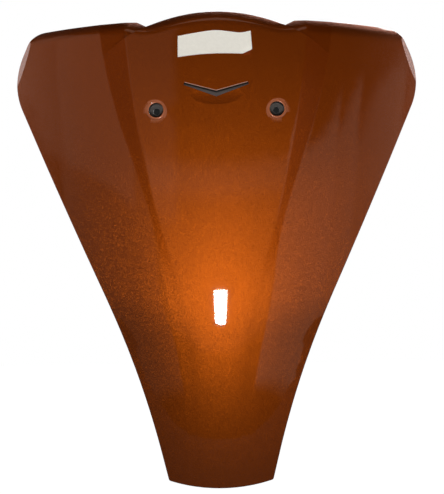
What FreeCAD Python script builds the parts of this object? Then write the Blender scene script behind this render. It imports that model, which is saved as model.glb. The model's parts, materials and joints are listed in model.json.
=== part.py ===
import FreeCAD, Part
import math
import os

# Front panel of a scooter: one thin moulding with a raised tongue, two wings and a rolled upper edge.
# A trim insert fills the slot under the hood and a paper label lies on the hood.
# The origin is midway between the two bolt holes, on the rear faces of their bosses.
# X runs across the panel, Z runs up it and the painted front looks towards -Y.
# "Forward" is the distance in front of the bosses' rear faces, so y = -forward. Sizes are in millimetres.

Vector = FreeCAD.Vector
BACK = Vector(0, 1, 0)

# Moulding
WALL = 2.5
FLANGE_DEPTH = 14.0
EDGE_ROUND = 1.2
FRONT_LIMIT = 120.0
REAR_LIMIT = 180.0

# Crown: the line down the middle, one arc above its foremost point and a tighter one below
CROWN_HEIGHT = -190.0
CROWN_FORWARD = 46.0
CROWN_RADIUS_ABOVE = 950.0
CROWN_RADIUS_BELOW = 500.0

# Sections across the panel: distances and slopes in degrees, each given at a few heights as (height, value)
RIDGE_OUT = [
    (-420, 20), (-260, 24), (-231, 28), (-200, 35), (-168, 45), (-125, 58.5),
    (-80, 70), (-53, 75.5), (0, 85.5), (70, 95), (115, 99)]
VALLEY_OUT = [
    (-420, 32), (-307, 35), (-255, 42), (-204, 50), (-159, 58), (-116, 68),
    (-82, 78), (-33, 95), (13, 109.5), (60, 120), (115, 127)]
RIDGE_SLOPE = [(-420, 6), (-260, 7), (-200, 4.5), (-135, 8), (-73, 9.5), (0, 10.5), (115, 11)]
FLANK_SLOPE = [(-420, 8.5), (-260, 9.5), (-200, 6.5), (-135, 11), (-73, 20), (0, 31), (115, 35)]
WING_SLOPE = [(-420, 11), (-260, 12), (-200, 8.5), (-135, 10), (-73, 14), (0, 20), (115, 23)]
WING_RADIUS = 125.0
CREASE_ROUND = 3.0

# Where the wings run on inwards behind the hood's upper corners
BEHIND_RADIUS = 100.0
BEHIND_FROM = 55.0
BEHIND_RAMP = 17.0
BEHIND_LIFT = 0.25

# Outline seen from the front, right-hand half, as corners (x, height) and the radii that round them
HEM_LOW = -398.4
HEM_CORNER = (55.3, -390.5)
FLARE = (82.5, -271.0)
SIDE = (229.3, 40.0)
SHOULDER = (202.2, 93.1)
SHOULDER_END = (84.5, 98.2)
HEM_CORNER_RADIUS = 3.0
FLARE_RADIUS = 880.0
SIDE_RADIUS = 70.0
SHOULDER_RADIUS = 26.0
NOTCH_RADIUS = 2.5

# Hood: its upper edge is one arc, which passes in front of the shoulders at its ends
HOOD_TOP = 106.3
HOOD_RADIUS = 180.0
HOOD_HALF_WIDTH = 72.0

# Roll of the upper edge, and the flat that takes off each shoulder's corner
ROLL_WIDTH = 12.0
ROLL_SLOPE = 1.5
FLAT_UPPER = (202.0, 86.0)
FLAT_LOWER = (223.0, 30.0)
FLAT_MIDDLE = (222.0, 60.0)
FLAT_DEPTH = 8.0

# Bolt recesses
BOLT_OUT = 63.0
BOLT_HOLE_RADIUS = 3.3
RECESS_RADIUS = 7.6
RECESS_FLOOR = 3.0
BEAD_RADIUS = 8.9
BEAD_ROUND = 1.8
BEAD_SUNK = 0.6
LAND_RADIUS = 12.8
LAND_HEIGHT = 0.5
LAND_SHIFT = 1.4

# V-shaped slot with a shallow hollow under it, and the insert behind it
SLOT_TIP = (33.5, 28.8)
SLOT_TIP_LOW = (34.0, 26.2)
SLOT_UPPER = 19.6
SLOT_LOWER = 13.6
HOLLOW_RADIUS = 95.0
HOLLOW_DEPTH = 1.0
INSERT_FIT = 0.2
INSERT_SUNK = 1.6
INSERT_PLATE = 1.6
INSERT_HALF_WIDTH = 40.0
INSERT_HEIGHTS = (6.0, 40.0)
STAKE_RADIUS = 2.0
STAKE = (17.0, 35.0)
STAKE_LENGTH = 4.0

# Screw posts on the inside, as (out, height, depth of the rear face behind the bolt bosses)
POSTS = [(165.0, 48.0, 72.0), (118.0, -128.0, 10.0), (30.0, -350.0, 6.0)]
POST_RADIUS = 4.5
POST_HOLE_RADIUS = 1.9
POST_HOLE_DEPTH = 14.0

# Label on the hood, by its corners
LABEL_CORNERS = [(-38.0, 57.4), (-38.0, 80.6), (39.8, 86.2), (41.4, 63.0)]
LABEL_BULGE = 2.0
LABEL_THICKNESS = 0.3


def along(stations, height):
    """Smooth value at a height between the stations of a table."""
    last = len(stations) - 1
    spot = 0
    while spot < last - 1 and height > stations[spot + 1][0]:
        spot += 1
    low, high = stations[spot], stations[spot + 1]
    before, after = stations[max(spot - 1, 0)], stations[min(spot + 2, last)]
    span = high[0] - low[0]
    rise_low = span * (high[1] - before[1]) / (high[0] - before[0])
    rise_high = span * (after[1] - low[1]) / (after[0] - low[0])
    t = min(max((height - low[0]) / span, 0.0), 1.0)
    start = low[1] * (1 + 2 * t) * (1 - t) ** 2 + rise_low * t * (1 - t) ** 2
    end = high[1] * t * t * (3 - 2 * t) + rise_high * t * t * (t - 1)
    return start + end


def steepness(stations, height):
    return math.tan(math.radians(along(stations, height)))


def hood_edge(x, inset=0.0):
    return HOOD_TOP - HOOD_RADIUS + math.sqrt((HOOD_RADIUS - inset) ** 2 - x * x)


def shoulder_edge(x):
    fall = (SHOULDER_END[1] - SHOULDER[1]) / (SHOULDER[0] - SHOULDER_END[0])
    return SHOULDER_END[1] - fall * (x - SHOULDER_END[0])


def top_edge(x):
    """Height of the panel's upper edge, hood and shoulders together."""
    if x <= HOOD_HALF_WIDTH:
        return hood_edge(x)
    return min(shoulder_edge(x), hood_edge(HOOD_HALF_WIDTH) + (x - HOOD_HALF_WIDTH) / 2)


def crown(height):
    radius = CROWN_RADIUS_ABOVE if height > CROWN_HEIGHT else CROWN_RADIUS_BELOW
    return CROWN_FORWARD - (height - CROWN_HEIGHT) ** 2 / (2 * radius)


def tongue_fall(x, height):
    """Fall below the crown of the raised tongue and its flank."""
    ridge = along(RIDGE_OUT, height)
    slope = steepness(RIDGE_SLOPE, height)
    if x <= ridge:
        return slope * x * x / (2 * ridge)
    return slope * ridge / 2 + steepness(FLANK_SLOPE, height) * (x - ridge)


def wing_fall(x, height):
    """Fall below the crown of the wing, which also runs on inwards behind the hood."""
    valley = along(VALLEY_OUT, height)
    beyond = x - valley
    radius = WING_RADIUS if beyond > 0 else BEHIND_RADIUS
    slope = steepness(WING_SLOPE, height)
    return tongue_fall(valley, height) + slope * beyond + beyond * beyond / (2 * radius)


def roll(x, height):
    """Extra fall where the upper edge rolls back."""
    inside = max(ROLL_WIDTH - top_edge(x) + height, 0.0)
    return ROLL_SLOPE * inside * inside / (2 * ROLL_WIDTH)


def front(x, height):
    x = abs(x)
    fall = tongue_fall if x <= along(VALLEY_OUT, height) else wing_fall
    return crown(height) - fall(x, height) - roll(x, height)


def base(x, height):
    """The front, or the wing behind it near the hood's upper corners."""
    x = abs(x)
    share = min(max((x - BEHIND_FROM) / BEHIND_RAMP, 0.0), 1.0)
    wing = crown(height) - wing_fall(x, height) - roll(x, height)
    return front(x, height) - share * max(front(x, height) - wing, 0.0)


def behind_hood(x, height):
    """The wing run on inwards, and lifted off the true wing on its outer side."""
    x = abs(x)
    lift = BEHIND_LIFT * max(x - along(VALLEY_OUT, height), 0.0)
    return crown(height) - wing_fall(x, height) - roll(x, height) + lift


def stretch(surface, x, height):
    """Length along Y of one millimetre of wall."""
    step = 2.0
    across = (surface(x + step, height) - surface(x - step, height)) / (2 * step)
    up = (surface(x, height + step) - surface(x, height - step)) / (2 * step)
    return math.sqrt(1 + across * across + up * up)


def smooth_face(rows):
    """Cubic surface drawn by rows of control points."""
    def knots(count):
        return list(range(count - 2)), [4] + [1] * (count - 4) + [4]
    row_knots, row_counts = knots(len(rows))
    column_knots, column_counts = knots(len(rows[0]))
    surface = Part.BSplineSurface()
    surface.buildFromPolesMultsKnots(
        rows, row_counts, column_counts, row_knots, column_knots, False, False, 3, 3)
    return surface.toShape()


def places_across(height):
    """Control point places on both sides of the middle, close together at the creases."""
    ridge, valley = along(RIDGE_OUT, height), along(VALLEY_OUT, height)
    edge = 75.0 + (height + 420.0) * 0.36
    near = min(CREASE_ROUND, (valley - ridge) / 4)
    places = [ridge * share for share in (0.25, 0.5, 0.75)]
    places += [ridge - near, ridge, ridge + near, valley - near, valley, valley + near]
    places += [valley + (edge - valley) * share for share in (0.15, 0.3, 0.5, 0.7, 0.85, 1.0)]
    return [-x for x in reversed(places)] + [0.0] + places


def skin(surface, inset=0.0, shift=0.0):
    """Face following a surface, set into the wall by the inset and straight back by the shift."""
    def point(x, height):
        return Vector(x, shift + inset * stretch(surface, x, height) - surface(x, height), height)
    rows = []
    for height in [-418.0 + 17.5 * step for step in range(28)]:
        rows.append([point(x, height) for x in places_across(height)])
    for below in (24.0, 17.0, 12.0, 8.0, 4.0, 0.0, -4.0, -8.0):
        rows.append([point(x, top_edge(abs(x)) - below) for x in places_across(HOOD_TOP - below)])
    return smooth_face(rows)


def behind(face):
    return face.extrude(BACK * REAR_LIMIT)


def at_front(point):
    return Vector(point[0], -FRONT_LIMIT, point[1])


def line(start, end):
    return Part.LineSegment(at_front(start), at_front(end)).toShape()


def arc(start, middle, end):
    return Part.Arc(at_front(start), at_front(middle), at_front(end)).toShape()


def prism(edges):
    return Part.Face(Part.Wire(edges)).extrude(BACK * (FRONT_LIMIT + REAR_LIMIT))


def polygon(points):
    return prism([line(a, b) for a, b in zip(points, points[1:] + points[:1])])


def rod(place, radius, front_end, rear_end):
    return Part.makeCylinder(radius, rear_end - front_end, Vector(place[0], front_end, place[1]), BACK)


def mirrored(point):
    return (-point[0], point[1])


def both_sides(solid):
    return [solid, solid.mirror(Vector(0, 0, 0), Vector(1, 0, 0))]


def outline():
    """Prism of the panel's outline with its corners rounded."""
    notch = (HOOD_HALF_WIDTH, hood_edge(HOOD_HALF_WIDTH))
    right = [HEM_CORNER, FLARE, SIDE, SHOULDER, SHOULDER_END, notch]
    left = [mirrored(point) for point in reversed(right)]
    edges = [arc(left[-1], (0, HEM_LOW), right[0])]
    edges += [line(a, b) for a, b in zip(right, right[1:])]
    edges += [arc(right[-1], (0, HOOD_TOP), left[0])]
    edges += [line(a, b) for a, b in zip(left, left[1:])]
    solid = prism(edges)
    radii = [HEM_CORNER_RADIUS, FLARE_RADIUS, SIDE_RADIUS, SHOULDER_RADIUS, NOTCH_RADIUS, NOTCH_RADIUS]
    middle = (REAR_LIMIT - FRONT_LIMIT) / 2
    for corner, radius in zip(right, radii):
        for x, height in (corner, mirrored(corner)):
            edge = min(solid.Edges, key=lambda item: (item.CenterOfMass - Vector(x, middle, height)).Length)
            solid = solid.makeFillet(radius, [edge])
    return solid


def inset_prism(solid, inset):
    end = min(solid.Faces, key=lambda face: face.CenterOfMass.y)
    return end.makeOffset2D(-inset).extrude(BACK * (FRONT_LIMIT + REAR_LIMIT))


def above_hood(inset):
    """What lies above the hood's upper edge and in front of the shoulders, on both sides."""
    inner, outer = HOOD_HALF_WIDTH - NOTCH_RADIUS - inset, 128.0
    high = HOOD_TOP + 30.0
    start, middle, end = [(x, hood_edge(x, inset)) for x in (inner, (inner + outer) / 2, outer)]
    edges = [arc(start, middle, end), line(end, (outer, high)), line((outer, high), (inner, high))]
    edges += [line((inner, high), start)]
    return both_sides(prism(edges).cut(behind(skin(behind_hood, inset))))


def beyond_flat(inset):
    """What lies beyond the flat across each shoulder's corner."""
    upper, lower, middle = [
        Vector(x, drop + wing_fall(x, height) - crown(height), height)
        for (x, height), drop in ((FLAT_UPPER, 0), (FLAT_LOWER, 0), (FLAT_MIDDLE, FLAT_DEPTH))]
    normal = (lower - upper).cross(middle - upper).normalize()
    if normal.x < 0:
        normal = -normal
    size = 200.0
    flat = Part.makePlane(size, size, Vector(-size / 2, -size / 2, 0))
    turn = FreeCAD.Rotation(Vector(0, 0, 1), normal)
    flat.Placement = FreeCAD.Placement((upper + lower) / 2 - normal * inset, turn)
    return both_sides(flat.extrude(normal * 60.0))


def round_rim(solid):
    """Round the outer edge of the painted front."""
    largest = sorted(solid.Faces, key=lambda face: face.Area)[-2:]
    painted = min(largest, key=lambda face: face.CenterOfMass.y)
    return solid.makeFillet(EDGE_ROUND, painted.OuterWire.Edges)


def normal_to_front(x, height):
    """Direction square to the painted front, pointing out of it."""
    across = (front(x + 1, height) - front(x - 1, height)) / 2
    up = (front(x, height + 1) - front(x, height - 1)) / 2
    return Vector(-across, -1, -up).normalize()


def slot_shape(fit):
    """The V of the slot, drawn in by the fit."""
    upper, lower = SLOT_UPPER - fit, SLOT_LOWER + fit
    tip = (SLOT_TIP[0] - 2 * fit, SLOT_TIP[1] - fit)
    tip_low = (SLOT_TIP_LOW[0] - 2 * fit, SLOT_TIP_LOW[1] + fit)
    return polygon([(0, lower), tip_low, tip, (0, upper), mirrored(tip), mirrored(tip_low)])


def hollow():
    """Shallow trough under the slot, cut by a roller lying across the panel."""
    middle = (SLOT_UPPER + SLOT_LOWER) / 2
    length = 4 * SLOT_TIP[0]
    on_front = Vector(-length / 2, -front(0, middle), middle)
    axis_end = on_front + normal_to_front(0, middle) * (HOLLOW_RADIUS - HOLLOW_DEPTH)
    roller = Part.makeCylinder(HOLLOW_RADIUS, length, axis_end, Vector(1, 0, 0))
    rise = (SLOT_TIP_LOW[1] - SLOT_LOWER) / SLOT_TIP_LOW[0]
    side = (length / 2, SLOT_LOWER + rise * length / 2)
    low = SLOT_LOWER - HOLLOW_RADIUS
    return roller.common(polygon([(0, SLOT_LOWER), side, (side[0], low), (-side[0], low), mirrored(side)]))


os.makedirs("parts", exist_ok=True)

front_solid = behind(skin(front))
middle_solid = behind(skin(front, WALL / 2))
inner_solid = behind(skin(front, WALL))
panel_outline = outline()

# The moulding's outside, then its inside taken away
shell = front_solid.common(panel_outline).cut([behind(skin(base, 0.0, FLANGE_DEPTH))] + beyond_flat(0.0))
shell = round_rim(shell).cut(above_hood(0.0))
cavity = inner_solid.common(inset_prism(panel_outline, WALL)).cut(above_hood(WALL) + beyond_flat(WALL))
panel = shell.cut(cavity)

# Bolt bosses, screw posts and the pins that hold the insert, each starting inside the wall
bolt = (BOLT_OUT, 0.0)
lugs = [rod(bolt, RECESS_RADIUS + WALL, -FRONT_LIMIT, 0.0)]
lugs += [rod(post, POST_RADIUS, -FRONT_LIMIT, post[2]) for post in POSTS]
lugs += [rod(STAKE, STAKE_RADIUS, -FRONT_LIMIT, STAKE_LENGTH + WALL - front(*STAKE))]
lugs = [lug.common(middle_solid) for lug in lugs]

# Land and bead round each recess, standing on the wall
land = rod((BOLT_OUT + LAND_SHIFT, -LAND_SHIFT), LAND_RADIUS, -FRONT_LIMIT, 0.0)
land = land.common(behind(skin(front, -LAND_HEIGHT))).cut(middle_solid)
out = normal_to_front(*bolt)
bead_middle = Vector(BOLT_OUT, -front(*bolt), 0.0) - out * BEAD_SUNK
bead = Part.makeTorus(BEAD_RADIUS, BEAD_ROUND, bead_middle, out).cut(middle_solid)
panel = panel.fuse([piece for item in lugs + [land, bead] for piece in both_sides(item)])

# Recesses, holes, slot and hollow
drills = [rod(bolt, RECESS_RADIUS, -FRONT_LIMIT, -RECESS_FLOOR)]
drills += [rod(bolt, BOLT_HOLE_RADIUS, -FRONT_LIMIT, 0.0)]
drills += [rod(post, POST_HOLE_RADIUS, post[2] - POST_HOLE_DEPTH, post[2]) for post in POSTS]
panel = panel.cut([tool for drill in drills for tool in both_sides(drill)] + [slot_shape(0.0), hollow()])
panel.exportStep("parts/front_panel.step")

# Insert: a plate lying on the inside of the wall, with a V that fills the slot
low, high = [(INSERT_HALF_WIDTH, height) for height in INSERT_HEIGHTS]
plate = polygon([mirrored(low), low, high, mirrored(high)]).common(inner_solid)
filling = slot_shape(INSERT_FIT).common(behind(skin(front, INSERT_SUNK)))
stake_hole = rod(STAKE, STAKE_RADIUS + INSERT_FIT, -FRONT_LIMIT, 0.0)
insert = plate.fuse(filling).cut([behind(skin(front, WALL + INSERT_PLATE))] + both_sides(stake_hole))
insert.exportStep("parts/trim_insert.step")

# Label: a sheet lying on the hood, its upper edge a little bowed
a, b, c, d = LABEL_CORNERS
bow = ((b[0] + c[0]) / 2, (b[1] + c[1]) / 2 + LABEL_BULGE)
sheet = prism([line(d, a), line(a, b), arc(b, bow, c), line(c, d)])
label = sheet.common(behind(skin(front, -LABEL_THICKNESS))).cut(front_solid)
label.exportStep("parts/label.step")
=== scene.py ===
import json
import math

import bmesh
import bpy
from mathutils import Matrix, Vector
from mathutils.bvhtree import BVHTree

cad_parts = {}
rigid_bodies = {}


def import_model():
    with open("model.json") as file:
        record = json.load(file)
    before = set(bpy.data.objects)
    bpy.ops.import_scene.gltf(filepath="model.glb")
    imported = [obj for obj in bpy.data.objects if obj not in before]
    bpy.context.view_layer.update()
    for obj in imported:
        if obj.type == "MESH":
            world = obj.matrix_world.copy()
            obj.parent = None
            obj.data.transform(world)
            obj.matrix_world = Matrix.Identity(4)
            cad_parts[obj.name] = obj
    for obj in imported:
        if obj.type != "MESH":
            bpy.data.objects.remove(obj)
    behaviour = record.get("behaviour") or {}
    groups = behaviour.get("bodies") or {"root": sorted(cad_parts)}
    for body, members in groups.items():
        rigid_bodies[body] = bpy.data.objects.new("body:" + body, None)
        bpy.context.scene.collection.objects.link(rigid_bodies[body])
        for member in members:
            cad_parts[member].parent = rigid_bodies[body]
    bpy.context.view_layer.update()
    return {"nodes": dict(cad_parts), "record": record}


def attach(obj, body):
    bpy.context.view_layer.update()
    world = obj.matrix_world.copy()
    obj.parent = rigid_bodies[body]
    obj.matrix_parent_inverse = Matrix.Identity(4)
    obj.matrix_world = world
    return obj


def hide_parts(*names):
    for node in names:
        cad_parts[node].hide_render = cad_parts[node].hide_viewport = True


# Scooter front panel: metallic copper paint under clear lacquer, bare dark plastic inside,
# a dark trim insert in the V-shaped slot and a pale label with one lifted corner.
# Metres, in the part's own frame: the painted front looks towards -Y and Z is up.
MM = 0.001
WHITE = (1.0, 1.0, 1.0, 1.0)

# Camera, as the photograph sees the panel
IMAGE_HEIGHT_PX = 494
FOCAL_PX = 1705.0
SENSOR = 36.0
CAMERA_PLACE = Vector((0.007, -1.8, -0.1253))
CAMERA_YAW = math.radians(-0.1)
CAMERA_PITCH = math.radians(-0.58)
CAMERA_ROLL = math.radians(0.73)

# Paint
PAINT_COLOUR = (0.47, 0.09, 0.005, 1.0)
PAINT_METALLIC = 0.97
PAINT_ROUGHNESS = 0.45
LACQUER_ROUGHNESS = 0.03
LACQUER_IOR = 1.5
FLAKE_SIZE = 0.00028
FLAKE_TILT = (0.66, 0.15, 0.16)
FLAKE_LEAN = (0.0, 0.0, -0.015)
# Rings round the recesses: paler, less metallic paint as a painted highlight
RING_HIGHLIGHT_COLOUR = (0.46, 0.13, 0.05, 1.0)
RING_METALLIC = 0.3
RING_ROUGHNESS = 0.4
RING_LACQUER_ROUGHNESS = 0.1

# Steep flanks beside the tongue, painted darker with a weaker lacquer as painted shade: height, inner and
# outer edge.
# The painted shade ends softly at those edges, and sets in between two heights.
FLANKS = [
    (-0.26, 0.024, 0.0415), (-0.2, 0.035, 0.0506), (-0.125, 0.0585, 0.066), (-0.053, 0.0755, 0.088),
    (0.0, 0.0855, 0.1055), (0.07, 0.095, 0.1215), (0.115, 0.099, 0.127)]
FLANK_EDGE = 0.0015
FLANK_FADE = (-0.19, -0.13)
FLANK_SHADE_COLOUR = (0.415, 0.075, 0.0045, 1.0)
FLANK_SHADE_LACQUER = 0.12

# Grained materials: colour, roughness, size and depth of the grain
BARE_PLASTIC = ((0.03, 0.027, 0.026), 0.5, 0.0012, 0.12)
# Recess floors: dark plastic as painted shade deep in the recesses
RECESS_SHADE_PLASTIC = ((0.05, 0.034, 0.025), 0.5, 0.0008, 0.1)
# Lip: pale as a painted highlight along the slot's edge
LIP_HIGHLIGHT_PAINT = ((0.55, 0.3, 0.22), 0.3, 0.002, 0.05)
LABEL_FILM = ((0.93, 0.92, 0.85), 0.4, 0.003, 0.02)

# Most that the grain lightens or darkens those colours, and how fine its detail is
GRAIN_CONTRAST = 0.06
GRAIN_DETAIL = 3.0

# Trim insert
TRIM_COLOUR = (0.095, 0.078, 0.075, 1.0)
TRIM_SHADE = (0.008, 0.005, 0.004, 1.0)
TRIM_ROUGHNESS = 0.4

# Moulding: distance at which loose corners join, and the order of its material slots
MERGE_DISTANCE = 1e-6
PAINTED, BARE, RING_HIGHLIGHT, RECESS = range(4)

# Where the paint ends: the spine from which the rim faces away, and the recesses and the slot
SPINE_HEIGHTS = (-0.35, 0.04)
LUG_RADIUS = 0.0125
RECESS_RADIUS = 0.0077
RECESS_FLOOR = -0.0035
RING_RADIUS = 0.0118
SLOT_HALF_WIDTH = 0.045
SLOT_HEIGHTS = (0.0, 0.045)

# How far back a face looks: at most this for a recess's floor and for the front, at least this inside
FLOOR_FACING = -0.5
FRONT_FACING = -0.05
INSIDE_FACING = 0.3

# Depth from which the panel's front is looked for
LOOK_FROM = -1.0

# Upper edge of the V-shaped slot, under which the insert lies in shade
SLOT_UPPER = 0.0196
SLOT_RISE = 0.275
SHADE_DEPTH = 0.0022

# Paint drawn up into a thin lip along that edge, pale as a painted highlight
LIP_HALF_WIDTH = 0.0328
LIP_RADIUS = 0.0004
LIP_STEPS = 40
LIP_ROUNDING = 2

# Label: edge points as (x, height), and the fold of its lifted corner
LABEL_TOP = [
    (-0.0400, 0.0787), (-0.0200, 0.0822), (-0.0010, 0.0845),
    (0.0150, 0.0829), (0.0262, 0.0817), (0.0368, 0.0836)]
LABEL_LOW = [
    (-0.0400, 0.0560), (-0.0200, 0.0584), (-0.0010, 0.0593),
    (0.0150, 0.0592), (0.0262, 0.0588), (0.0386, 0.0575)]
LABEL_STEPS = (64, 20)
LABEL_LIFT = 0.0004
LABEL_THICKNESS = 0.00025
FOLD_FROM = (0.0236, 0.0590)
FOLD_TO = (0.0376, 0.0655)
FOLD_RADIUS = 0.002
FOLD_MOST = math.radians(85)

# Lamps
LAMP_PLACE = (0.013, -2.3, -0.458)
LAMP_AIM = (0.003, -0.043, -0.204)
LAMP_SIZE = (0.165, 0.38)
LAMP_POWER = 21.0
CEILING_PLACE = (-0.15, -0.7, 2.0)
CEILING_AIM = (0.0, 0.0, 0.0)
CEILING_SIZE = (2.0, 1.2)
CEILING_POWER = 26.0
BACK_PLACE = (0.6, 1.9, 0.8)
BACK_AIM = (0.0, 0.0, -0.15)
BACK_SIZE = (1.4, 1.4)
BACK_POWER = 30.0

# Floor, whose glow fades into the backdrop between two distances
FLOOR_HEIGHT = -0.85
FLOOR_SIZE = 8.0
FLOOR_FRONT = -0.6
FLOOR_COLOUR = (0.1, 0.1, 0.1, 1.0)
FLOOR_ROUGHNESS = 0.9
FLOOR_GLOW = 0.95
FLOOR_FADE = (1.0, 2.5)

# Room, and the white backdrop as a direction: how far back it sets in and how high it ends
ROOM_LEVEL = 0.02
ROOM_COLOUR = (1.0, 0.84, 0.68, 1.0)
BACKDROP_DEPTH = (0.25, 0.6)
BACKDROP_TOP = (0.2, 0.5)

# Strip of the backdrop behind the bolt holes, also as a direction, that the camera sees in shade
HIDDEN_LEVEL = 0.0693
HIDDEN_HALF_WIDTH = 0.06
HIDDEN_HALF_HEIGHT = 0.02
HOLE_SHADE = 0.015

# Lit walls as seen from the panel: left, right, low and high bounds in degrees, and light level.
# They end softly, over twice the edge's degrees.
WALL_EDGE = 2.0
LIT_WALLS = [
    (-112, -88, 9, 45, 0.22),
    (-88, -40, 9, 45, 0.34),
    (-40, -13, 9, 45, 0.16),
    (-90, -28, -28, 9, 0.15),
    (-27, 24, -18, 18, 0.08),
    (-27, 24, 13, 18, 0.18),
    (-45, 45, 66, 95, 0.6),
    (24, 45, -27, 21, 0.48),
    (45, 66, -27, 21, 0.48),
    (66, 80, -27, 18, 0.4),
    (80, 104, -27, 14, 0.27),
]

for thing in list(bpy.data.objects):
    bpy.data.objects.remove(thing)

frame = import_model()


# Small helpers

def new_material(name):
    """New material with its node tree and its shader."""
    material = bpy.data.materials.new(name)
    material.use_nodes = True
    tree = material.node_tree
    return material, tree, tree.nodes["Principled BSDF"]


def set_values(node, **values):
    """Sets sockets by their names, with underscores for spaces."""
    for name, value in values.items():
        node.inputs[name.replace("_", " ")].default_value = value


def feed(tree, socket, item):
    """Links an output to a socket, or sets a plain value on it."""
    if isinstance(item, bpy.types.NodeSocket):
        tree.links.new(item, socket)
    else:
        socket.default_value = item


def sum_node(tree, kind, *items):
    """Math node on links or plain numbers."""
    node = tree.nodes.new("ShaderNodeMath")
    node.operation = kind
    for socket, item in zip(node.inputs, items):
        feed(tree, socket, item)
    return node.outputs["Value"]


def vector_node(tree, kind, *items):
    """Vector math node on links or plain vectors."""
    node = tree.nodes.new("ShaderNodeVectorMath")
    node.operation = kind
    for socket, item in zip(node.inputs, items):
        feed(tree, socket, item)
    return node.outputs["Vector"]


def ramp(tree, value, start, end, low=0.0, high=1.0):
    """Smooth step from low to high as the value goes from start to end."""
    node = tree.nodes.new("ShaderNodeMapRange")
    node.interpolation_type = "SMOOTHSTEP"
    names = ("Value", "From Min", "From Max", "To Min", "To Max")
    for name, item in zip(names, (value, start, end, low, high)):
        feed(tree, node.inputs[name], item)
    return node.outputs["Result"]


def colour_mix(tree, share, first, second):
    """Blend of two colours, all of the second where the share is one."""
    node = tree.nodes.new("ShaderNodeMix")
    node.data_type = "RGBA"
    for name, item in (("Factor", share), ("A", first), ("B", second)):
        feed(tree, node.inputs[name], item)
    return node.outputs["Result"]


def object_place(tree):
    """Place in the piece's own frame, whole and in its parts."""
    place = tree.nodes.new("ShaderNodeTexCoord").outputs["Object"]
    parts = tree.nodes.new("ShaderNodeSeparateXYZ")
    tree.links.new(place, parts.inputs["Vector"])
    return place, parts.outputs


def height_curve(tree, height, points):
    """Length read off at a height, from points as (height, length)."""
    lowest, highest = points[0][0], points[-1][0]
    longest = max(length for _, length in points)
    share = tree.nodes.new("ShaderNodeMapRange")
    set_values(share, From_Min=lowest, From_Max=highest)
    tree.links.new(height, share.inputs["Value"])
    curve = tree.nodes.new("ShaderNodeFloatCurve")
    line = curve.mapping.curves[0].points
    while len(line) < len(points):
        line.new(0.5, 0.5)
    for knot, (level, length) in zip(line, points):
        knot.location = ((level - lowest) / (highest - lowest), length / longest)
    curve.mapping.update()
    tree.links.new(share.outputs["Result"], curve.inputs["Value"])
    return sum_node(tree, "MULTIPLY", curve.outputs["Value"], longest)


def add_piece(name, mesh, slot, *nodes):
    """Puts a mesh into the scene as a piece of the part, in place of the nodes that are given."""
    piece = bpy.data.objects.new(name, mesh)
    bpy.context.scene.collection.objects.link(piece)
    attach(piece, "root")
    if nodes:
        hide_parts(*nodes)
    return piece


# Materials

def painted_flank_shade(tree, parts):
    """Share of painted shade: one on the flanks from the tongue's waist upwards, nothing elsewhere."""
    out, height = sum_node(tree, "ABSOLUTE", parts["X"]), parts["Z"]
    inner = height_curve(tree, height, [(level, edge) for level, edge, _ in FLANKS])
    outer = height_curve(tree, height, [(level, edge) for level, _, edge in FLANKS])
    past_inner = ramp(tree, sum_node(tree, "SUBTRACT", out, inner), -FLANK_EDGE, FLANK_EDGE)
    short_of_outer = ramp(tree, sum_node(tree, "SUBTRACT", outer, out), -FLANK_EDGE, FLANK_EDGE)
    band = sum_node(tree, "MULTIPLY", past_inner, short_of_outer)
    return sum_node(tree, "MULTIPLY", band, ramp(tree, height, *FLANK_FADE))


def copper_paint():
    """Orange flakes, each tilted a little, under a smooth lacquer; painted shade darkens the flanks and
    weakens their lacquer.
    """
    material, tree, shader = new_material("copper_paint")
    set_values(shader, Metallic=PAINT_METALLIC, Roughness=PAINT_ROUGHNESS)
    set_values(shader, Specular_IOR_Level=0.0, Coat_Roughness=LACQUER_ROUGHNESS, Coat_IOR=LACQUER_IOR)
    place, parts = object_place(tree)
    flank_shade = painted_flank_shade(tree, parts)
    # Painted shade: the flanks get less lacquer and a darker colour, so they look dark.
    tree.links.new(ramp(tree, flank_shade, 0.0, 1.0, 1.0, FLANK_SHADE_LACQUER), shader.inputs["Coat Weight"])
    tree.links.new(colour_mix(tree, flank_shade, PAINT_COLOUR, FLANK_SHADE_COLOUR), shader.inputs["Base Color"])
    flakes = tree.nodes.new("ShaderNodeTexVoronoi")
    flakes.inputs["Scale"].default_value = 1.0 / FLAKE_SIZE
    tree.links.new(place, flakes.inputs["Vector"])
    doubled = vector_node(tree, "ADD", flakes.outputs["Color"], flakes.outputs["Color"])
    either_way = vector_node(tree, "SUBTRACT", doubled, (1.0, 1.0, 1.0))
    squared = vector_node(tree, "MULTIPLY", either_way, either_way)
    mostly_flat = vector_node(tree, "MULTIPLY", squared, either_way)
    tilt = vector_node(tree, "MULTIPLY_ADD", mostly_flat, FLAKE_TILT, FLAKE_LEAN)
    surface = tree.nodes.new("ShaderNodeNewGeometry")
    facing = vector_node(tree, "ADD", surface.outputs["Normal"], tilt)
    tree.links.new(vector_node(tree, "NORMALIZE", facing), shader.inputs["Normal"])
    return material


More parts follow.
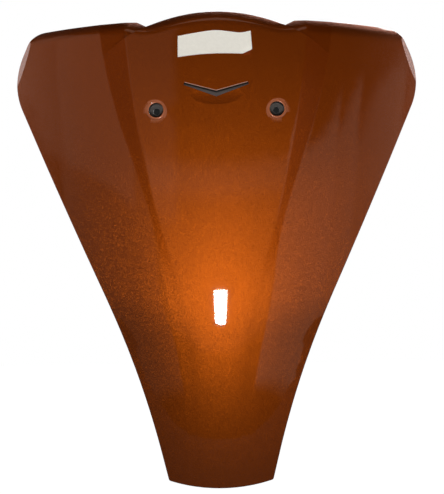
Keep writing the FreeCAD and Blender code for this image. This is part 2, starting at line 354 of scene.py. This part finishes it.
def grained_material(name, colour, roughness, grain_size, grain_depth):
    """Even colour that a fine grain lightens and darkens a little and stands up from."""
    material, tree, shader = new_material(name)
    set_values(shader, Roughness=roughness)
    place = tree.nodes.new("ShaderNodeTexCoord").outputs["Object"]
    grain = tree.nodes.new("ShaderNodeTexNoise")
    set_values(grain, Scale=1.0 / grain_size, Detail=GRAIN_DETAIL)
    tree.links.new(place, grain.inputs["Vector"])
    darkest = [part * (1.0 - GRAIN_CONTRAST) for part in colour] + [1.0]
    palest = [min(part * (1.0 + GRAIN_CONTRAST), 1.0) for part in colour] + [1.0]
    tree.links.new(colour_mix(tree, grain.outputs["Fac"], darkest, palest), shader.inputs["Base Color"])
    bump = tree.nodes.new("ShaderNodeBump")
    set_values(bump, Strength=grain_depth, Distance=grain_size)
    tree.links.new(grain.outputs["Fac"], bump.inputs["Height"])
    tree.links.new(bump.outputs["Normal"], shader.inputs["Normal"])
    return material


def ring_highlight_paint():
    """The rings round the recesses, in paler paint as a painted highlight."""
    material, _, shader = new_material("ring_highlight_paint")
    set_values(shader, Base_Color=RING_HIGHLIGHT_COLOUR, Metallic=RING_METALLIC, Roughness=RING_ROUGHNESS)
    set_values(shader, Coat_Weight=1.0, Coat_Roughness=RING_LACQUER_ROUGHNESS)
    return material


def trim_plastic():
    """Grey plastic, darker in the shade under the slot's upper edge."""
    material, tree, shader = new_material("trim_plastic")
    set_values(shader, Roughness=TRIM_ROUGHNESS)
    _, parts = object_place(tree)
    rise = sum_node(tree, "MULTIPLY", sum_node(tree, "ABSOLUTE", parts["X"]), SLOT_RISE)
    edge = sum_node(tree, "ADD", rise, SLOT_UPPER)
    below = sum_node(tree, "SUBTRACT", edge, parts["Z"])
    lit = ramp(tree, below, SHADE_DEPTH / 2, SHADE_DEPTH)
    tree.links.new(colour_mix(tree, lit, TRIM_SHADE, TRIM_COLOUR), shader.inputs["Base Color"])
    return material


# Painted moulding

def merged_copy(node):
    """Copy of a node's mesh with its loose triangles joined and its smooth normals kept."""
    mesh = frame["nodes"][node].data.copy()
    kept = mesh.attributes.new("kept_normal", "FLOAT_VECTOR", "CORNER")
    kept.data.foreach_set("vector", [part for corner in mesh.corner_normals for part in corner.vector])
    work = bmesh.new()
    work.from_mesh(mesh)
    bmesh.ops.remove_doubles(work, verts=work.verts, dist=MERGE_DISTANCE)
    work.to_mesh(mesh)
    work.free()
    kept = mesh.attributes["kept_normal"]
    mesh.normals_split_custom_set([tuple(item.vector) for item in kept.data])
    mesh.attributes.remove(mesh.attributes["kept_normal"])
    return mesh


def lug_axes():
    """Places (x, height) of the bosses and posts, from the record's mounts; the bolts' pair is first."""
    axes = []
    for mount in frame["record"]["mounts"]:
        x, _, height = mount["pos_m"]
        out = mount["dims"]["spacing_x_mm"] * MM / 2
        axes += [(x - out, height), (x + out, height)]
    return axes


def finish_of(face, lugs, bolts):
    """Slot of a face: paint outside, bare plastic inside, the rings' painted highlight and the recesses'
    painted shade apart.
    """
    x, y, height = face.center
    off_axis = min(math.hypot(x - a, height - b) for a, b in bolts)
    # Inside a recess, floor and walls take dark plastic as painted shade.
    if off_axis < RECESS_RADIUS:
        return RECESS if y > RECESS_FLOOR and face.normal.y < FLOOR_FACING else BARE
    if face.normal.y < FRONT_FACING:
        # Front faces near a recess take the paler ring paint, a painted highlight.
        return RING_HIGHLIGHT if off_axis < RING_RADIUS else PAINTED
    on_lug = any(math.hypot(x - a, height - b) < LUG_RADIUS for a, b in lugs)
    in_slot = abs(x) < SLOT_HALF_WIDTH and SLOT_HEIGHTS[0] < height < SLOT_HEIGHTS[1]
    if face.normal.y > INSIDE_FACING or on_lug or in_slot:
        return BARE
    spine = min(max(height, SPINE_HEIGHTS[0]), SPINE_HEIGHTS[1])
    return PAINTED if face.normal.x * x + face.normal.z * (height - spine) > 0 else BARE


def painted_moulding():
    """The panel with its four materials; gives its mesh."""
    mesh = merged_copy("front_panel")
    mesh.materials.clear()
    mesh.materials.append(copper_paint())
    mesh.materials.append(grained_material("bare_plastic", *BARE_PLASTIC))
    mesh.materials.append(ring_highlight_paint())
    mesh.materials.append(grained_material("recess_floor_shade", *RECESS_SHADE_PLASTIC))
    lugs = lug_axes()
    bolts = lugs[:2]
    for face in mesh.polygons:
        face.material_index = finish_of(face, lugs, bolts)
    add_piece("painted_moulding", mesh, "panel", "front_panel")
    return mesh


def front_finder(panel):
    """Function that gives the panel's front at a place (x, height), by looking straight back at it."""
    panel.calc_loop_triangles()
    tree = BVHTree.FromPolygons(
        [vertex.co for vertex in panel.vertices], [triangle.vertices for triangle in panel.loop_triangles])
    return lambda x, height: tree.ray_cast(Vector((x, LOOK_FROM, height)), Vector((0, 1, 0)))[0].y


def slot_lip(front_at):
    """Thin pale bead of paint along the upper edge of the slot, half sunk in the panel; its paleness is a
    painted highlight.
    """
    line = bpy.data.curves.new("slot_lip", "CURVE")
    line.dimensions = "3D"
    line.bevel_depth = LIP_RADIUS
    line.bevel_resolution = LIP_ROUNDING
    line.use_fill_caps = True
    path = line.splines.new("POLY")
    path.points.add(LIP_STEPS)
    for k, point in enumerate(path.points):
        x = LIP_HALF_WIDTH * (2 * k / LIP_STEPS - 1)
        height = SLOT_UPPER + SLOT_RISE * abs(x) + LIP_RADIUS
        point.co = (x, front_at(x, height), height, 1.0)
    carrier = bpy.data.objects.new("slot_lip_line", line)
    bpy.context.scene.collection.objects.link(carrier)
    swept = carrier.evaluated_get(bpy.context.evaluated_depsgraph_get())
    mesh = bpy.data.meshes.new_from_object(swept)
    bpy.data.objects.remove(carrier)
    mesh.materials.clear()
    mesh.materials.append(grained_material("lip_highlight_paint", *LIP_HIGHLIGHT_PAINT))
    add_piece("slot_lip", mesh, "panel")


# Label

def along(points, share):
    """Point at a share of the way along a smooth curve through a few points."""
    last = len(points) - 1
    spot = min(int(share * last), last - 1)
    t = share * last - spot
    p0, p1, p2, p3 = [Vector(points[min(max(spot + k, 0), last)]) for k in (-1, 0, 1, 2)]
    return ((2 * p1) + (p2 - p0) * t + (2 * p0 - 5 * p1 + 4 * p2 - p3) * t ** 2
            + (3 * p1 - p0 - 3 * p2 + p3) * t ** 3) / 2


def folded(x, height):
    """Moves a point of the flat label round the fold: its new x and height, and its lift off the panel."""
    start, end = Vector(FOLD_FROM), Vector(FOLD_TO)
    edge = (end - start).normalized()
    out = Vector((edge.y, -edge.x))
    beyond = (Vector((x, height)) - start).dot(out)
    if beyond <= 0:
        return x, height, 0.0
    turn = min(beyond / FOLD_RADIUS, FOLD_MOST)
    rest = beyond - FOLD_RADIUS * turn
    flat = FOLD_RADIUS * math.sin(turn) + rest * math.cos(turn)
    lift = FOLD_RADIUS * (1 - math.cos(turn)) + rest * math.sin(turn)
    moved = Vector((x, height)) + out * (flat - beyond)
    return moved.x, moved.y, lift


def curled_label(front_at):
    """Sheet laid on the hood, its lower corner folded forwards."""
    across, up = LABEL_STEPS
    vertices, faces = [], []
    for i in range(across + 1):
        low, top = along(LABEL_LOW, i / across), along(LABEL_TOP, i / across)
        for j in range(up + 1):
            x, height, lift = folded(*low.lerp(top, j / up))
            vertices.append((x, front_at(x, height) - LABEL_LIFT - lift, height))
    for i in range(across):
        for j in range(up):
            corner = i * (up + 1) + j
            faces.append((corner, corner + up + 1, corner + up + 2, corner + 1))
    mesh = bpy.data.meshes.new("curled_label")
    mesh.from_pydata(vertices, [], faces)
    mesh.polygons.foreach_set("use_smooth", [True] * len(mesh.polygons))
    mesh.materials.append(grained_material("label_film", *LABEL_FILM))
    piece = add_piece("curled_label", mesh, "label", "label")
    wall = piece.modifiers.new("film", "SOLIDIFY")
    wall.thickness = LABEL_THICKNESS
    wall.offset = -1.0


panel_front = front_finder(painted_moulding())
slot_lip(panel_front)
curled_label(panel_front)
trim = frame["nodes"]["trim_insert"].data
trim.materials.clear()
trim.materials.append(trim_plastic())


# Studio

def area_lamp(name, place, aim, size, power, mirrored=True):
    """Rectangular lamp, which the lacquer mirrors or not."""
    lamp = bpy.data.lights.new(name, "AREA")
    lamp.shape = "RECTANGLE"
    lamp.size, lamp.size_y = size
    lamp.energy = power
    thing = bpy.data.objects.new(name, lamp)
    thing.location = place
    thing.rotation_euler = (Vector(aim) - Vector(place)).to_track_quat("-Z", "Y").to_euler()
    thing.visible_glossy = mirrored
    bpy.context.scene.collection.objects.link(thing)


def inside(tree, value, low, high):
    """One between two bounds in degrees, falling softly to nothing outside them."""
    soft = math.radians(WALL_EDGE)
    rise = ramp(tree, value, math.radians(low) - soft, math.radians(low) + soft)
    fall = ramp(tree, value, math.radians(high) - soft, math.radians(high) + soft, 1.0, 0.0)
    return sum_node(tree, "MULTIPLY", rise, fall)


def room_level(tree, parts):
    """Light level of the dim room and its lit walls in each direction."""
    forwards = sum_node(tree, "MULTIPLY", parts["Y"], -1.0)
    around = sum_node(tree, "ARCTAN2", parts["X"], forwards)
    up = sum_node(tree, "ARCSINE", parts["Z"])
    level = ROOM_LEVEL
    for left, right, low, high, share in LIT_WALLS:
        wall = sum_node(tree, "MULTIPLY", inside(tree, around, left, right), inside(tree, up, low, high))
        level = sum_node(tree, "ADD", sum_node(tree, "MULTIPLY", wall, share), level)
    return level


def backdrop_share(tree, parts, path):
    """One where a glossy or see-through ray meets the white backdrop behind the panel."""
    seen_in = sum_node(tree, "MAXIMUM", path["Is Glossy Ray"], path["Is Transmission Ray"])
    behind = ramp(tree, parts["Y"], *BACKDROP_DEPTH)
    below_top = ramp(tree, parts["Z"], *BACKDROP_TOP, 1.0, 0.0)
    return sum_node(tree, "MULTIPLY", seen_in, sum_node(tree, "MULTIPLY", behind, below_top))


def backdrop_level(tree, parts, path):
    """Level of the white: the camera sees shade, not the backdrop, through the bolt holes."""
    off_middle = sum_node(tree, "ABSOLUTE", parts["X"])
    off_level = sum_node(tree, "ABSOLUTE", sum_node(tree, "SUBTRACT", parts["Z"], HIDDEN_LEVEL))
    beside = sum_node(tree, "GREATER_THAN", off_middle, HIDDEN_HALF_WIDTH)
    above_or_below = sum_node(tree, "GREATER_THAN", off_level, HIDDEN_HALF_HEIGHT)
    unseen = sum_node(tree, "SUBTRACT", 1.0, path["Is Camera Ray"])
    shown = sum_node(tree, "MAXIMUM", sum_node(tree, "MAXIMUM", beside, above_or_below), HOLE_SHADE)
    return sum_node(tree, "MAXIMUM", shown, unseen)


def studio_world():
    """Dim room with lit walls that the lacquer mirrors, and a white backdrop behind the panel."""
    world = bpy.data.worlds.new("studio")
    bpy.context.scene.world = world
    world.use_nodes = True
    tree = world.node_tree
    nodes, links = tree.nodes, tree.links
    way = nodes.new("ShaderNodeTexCoord")
    split = nodes.new("ShaderNodeSeparateXYZ")
    links.new(way.outputs["Generated"], split.inputs["Vector"])
    parts = split.outputs
    path = nodes.new("ShaderNodeLightPath").outputs
    room = nodes["Background"]
    room.inputs["Color"].default_value = ROOM_COLOUR
    links.new(room_level(tree, parts), room.inputs["Strength"])
    white = nodes.new("ShaderNodeBackground")
    white.inputs["Color"].default_value = WHITE
    links.new(backdrop_level(tree, parts, path), white.inputs["Strength"])
    share = sum_node(tree, "MAXIMUM", path["Is Camera Ray"], backdrop_share(tree, parts, path))
    mix = nodes.new("ShaderNodeMixShader")
    links.new(share, mix.inputs["Fac"])
    links.new(room.outputs["Background"], mix.inputs[1])
    links.new(white.outputs["Background"], mix.inputs[2])
    links.new(mix.outputs["Shader"], nodes["World Output"].inputs["Surface"])


def floor():
    """Pale ground under the panel that glows for the camera alone."""
    half = FLOOR_SIZE / 2
    mesh = bpy.data.meshes.new("floor")
    back = FLOOR_FRONT + FLOOR_SIZE
    corners = [(-half, FLOOR_FRONT), (half, FLOOR_FRONT), (half, back), (-half, back)]
    mesh.from_pydata([(x, y, FLOOR_HEIGHT) for x, y in corners], [], [(0, 1, 2, 3)])
    material, tree, shader = new_material("pale_floor")
    set_values(shader, Base_Color=FLOOR_COLOUR, Roughness=FLOOR_ROUGHNESS, Emission_Color=WHITE)
    place = tree.nodes.new("ShaderNodeTexCoord")
    far = tree.nodes.new("ShaderNodeVectorMath")
    far.operation = "LENGTH"
    tree.links.new(place.outputs["Object"], far.inputs[0])
    path = tree.nodes.new("ShaderNodeLightPath")
    glow = ramp(tree, far.outputs["Value"], *FLOOR_FADE, FLOOR_GLOW, 1.0)
    seen_glow = sum_node(tree, "MULTIPLY", glow, path.outputs["Is Camera Ray"])
    tree.links.new(seen_glow, shader.inputs["Emission Strength"])
    mesh.materials.append(material)
    thing = bpy.data.objects.new("floor", mesh)
    bpy.context.scene.collection.objects.link(thing)


def camera():
    """Camera at its place, turned by its yaw, pitch and roll."""
    data = bpy.data.cameras.new("camera")
    data.sensor_width = SENSOR
    data.lens = SENSOR * FOCAL_PX / IMAGE_HEIGHT_PX
    thing = bpy.data.objects.new("camera", data)
    turn = Matrix.Rotation(-CAMERA_YAW, 4, "Z") @ Matrix.Rotation(math.pi / 2 + CAMERA_PITCH, 4, "X")
    thing.matrix_world = Matrix.Translation(CAMERA_PLACE) @ turn @ Matrix.Rotation(-CAMERA_ROLL, 4, "Z")
    bpy.context.scene.collection.objects.link(thing)
    bpy.context.scene.camera = thing


area_lamp("window_lamp", LAMP_PLACE, LAMP_AIM, LAMP_SIZE, LAMP_POWER)
area_lamp("back_lamp", BACK_PLACE, BACK_AIM, BACK_SIZE, BACK_POWER)
area_lamp("ceiling_lamp", CEILING_PLACE, CEILING_AIM, CEILING_SIZE, CEILING_POWER, mirrored=False)
studio_world()
floor()
camera()
bpy.context.scene.view_settings.view_transform = "Standard"
